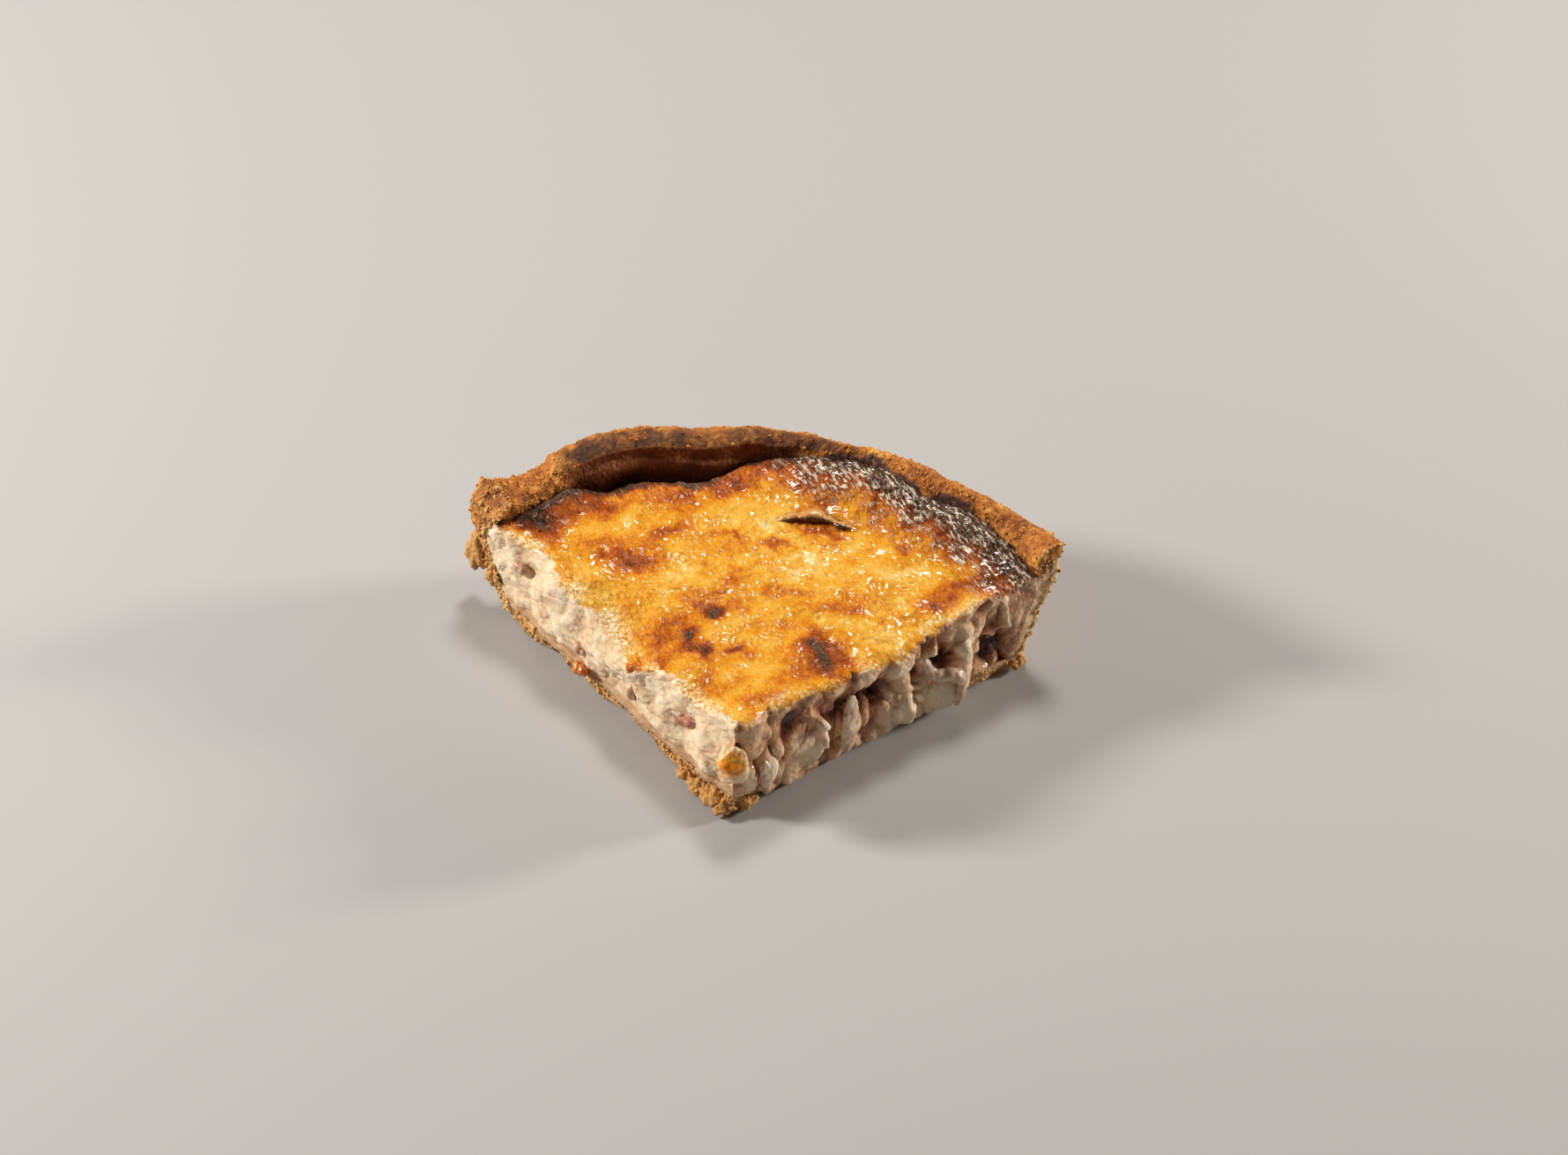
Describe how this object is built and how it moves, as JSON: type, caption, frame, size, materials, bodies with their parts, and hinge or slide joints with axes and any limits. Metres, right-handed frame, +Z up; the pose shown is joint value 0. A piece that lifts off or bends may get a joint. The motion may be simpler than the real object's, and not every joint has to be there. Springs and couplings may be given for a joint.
{
  "type": "quiche lorraine slice",
  "caption": "Wedge of quiche lorraine as cut and served: a shortcrust base with a raised rim holds a browned, baked custard with lardons and onion.",
  "frame": {"origin": "bottom centre of the slice's bounding box, on the flat underside of the pastry base", "axes": "+Z up; the tip of the wedge points along -Y and the rim curves round on the +Y side; +X is to the right of someone facing the tip's way in, from one end of the rim to the other"},
  "size_m": [0.1301, 0.0896, 0.0336],
  "materials": {
    "pastry": "baked shortcrust, matt and crumbly, golden brown with a darker inner face",
    "custard": "baked egg custard, glossy blistered skin in gold and brown, pale and curdled at the cuts",
    "lardon": "cooked bacon, moist",
    "onion": "soft cooked onion, wet and slightly translucent",
    "browned_bit": "caramelised custard, smooth and glossy"
  },
  "bodies": {
    "root": {"crust": "pastry", "filling": "custard", "browned_nugget": "browned_bit", "lardon_left_high": "lardon", "lardon_left_middle": "lardon", "lardon_left_low": "lardon", "lardon_left_tip": "lardon", "crust_flake_left": "pastry", "lardon_right": "lardon", "onion_hanging": "onion", "onion_curl": "onion", "onion_drip": "onion", "onion_top": "browned_bit"}
  },
  "joints": []
}
